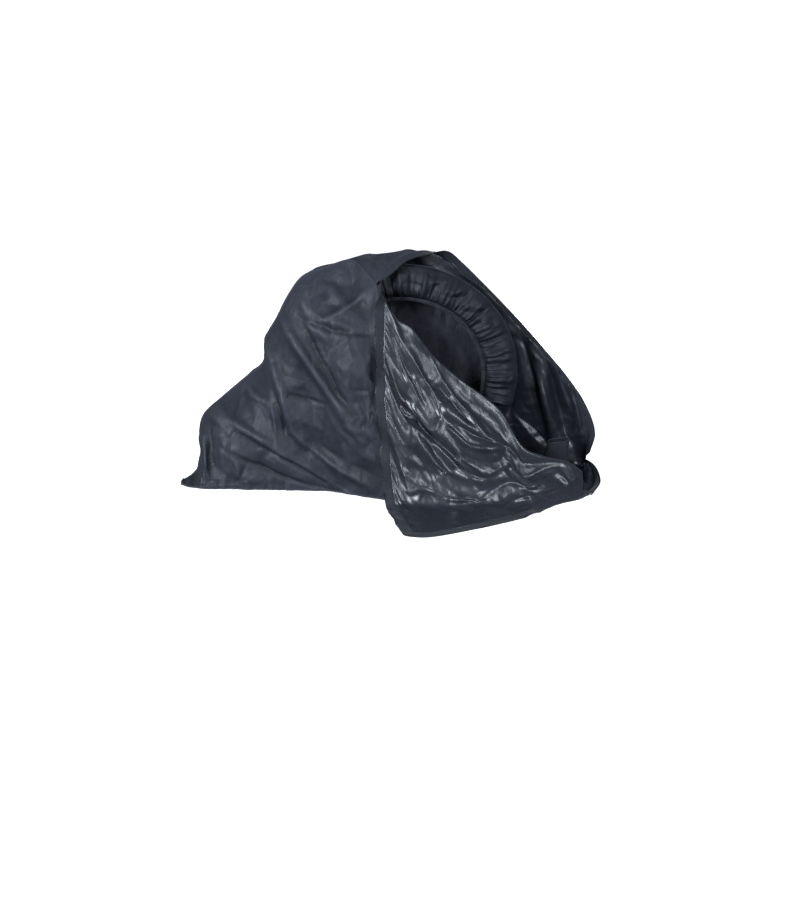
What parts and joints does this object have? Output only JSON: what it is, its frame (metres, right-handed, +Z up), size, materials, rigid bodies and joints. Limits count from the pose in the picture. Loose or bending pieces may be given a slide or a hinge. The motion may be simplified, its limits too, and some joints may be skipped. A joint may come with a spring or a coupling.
{
  "type": "bicycle cover",
  "caption": "Large thin nylon bag that covers a bicycle: open front, near corner folded down to show its shiny lining, hood over the top, and a round gathered wheel pocket inside.",
  "frame": {"origin": "middle of the bounding box's underside, on the floor that the cover stands on", "axes": "+X from the flat tail to the open front end, +Y from the near side to the far side, +Z up"},
  "size_m": [1.2528, 0.6278, 0.6813],
  "materials": {
    "panel_cloth": "matt dark nylon outside with a shiny clear coating inside",
    "base_cloth": "dark nylon with a shiny clear coating on top",
    "zip_tape": "matt woven tape with a coil of teeth",
    "pocket_cloth": "matt thin nylon, gathered",
    "elastic_band": "matt black woven elastic",
    "sleeve_cloth": "matt dark padded cloth"
  },
  "bodies": {
    "root": {"side_panel_near": "panel_cloth", "side_panel_far": "panel_cloth", "base_gusset": "base_cloth", "zip_tape_near": "zip_tape", "zip_tape_far": "zip_tape", "wheel_pocket": "pocket_cloth", "pocket_back": "pocket_cloth", "pocket_elastic": "elastic_band", "fork_sleeve": "sleeve_cloth"}
  },
  "joints": []
}
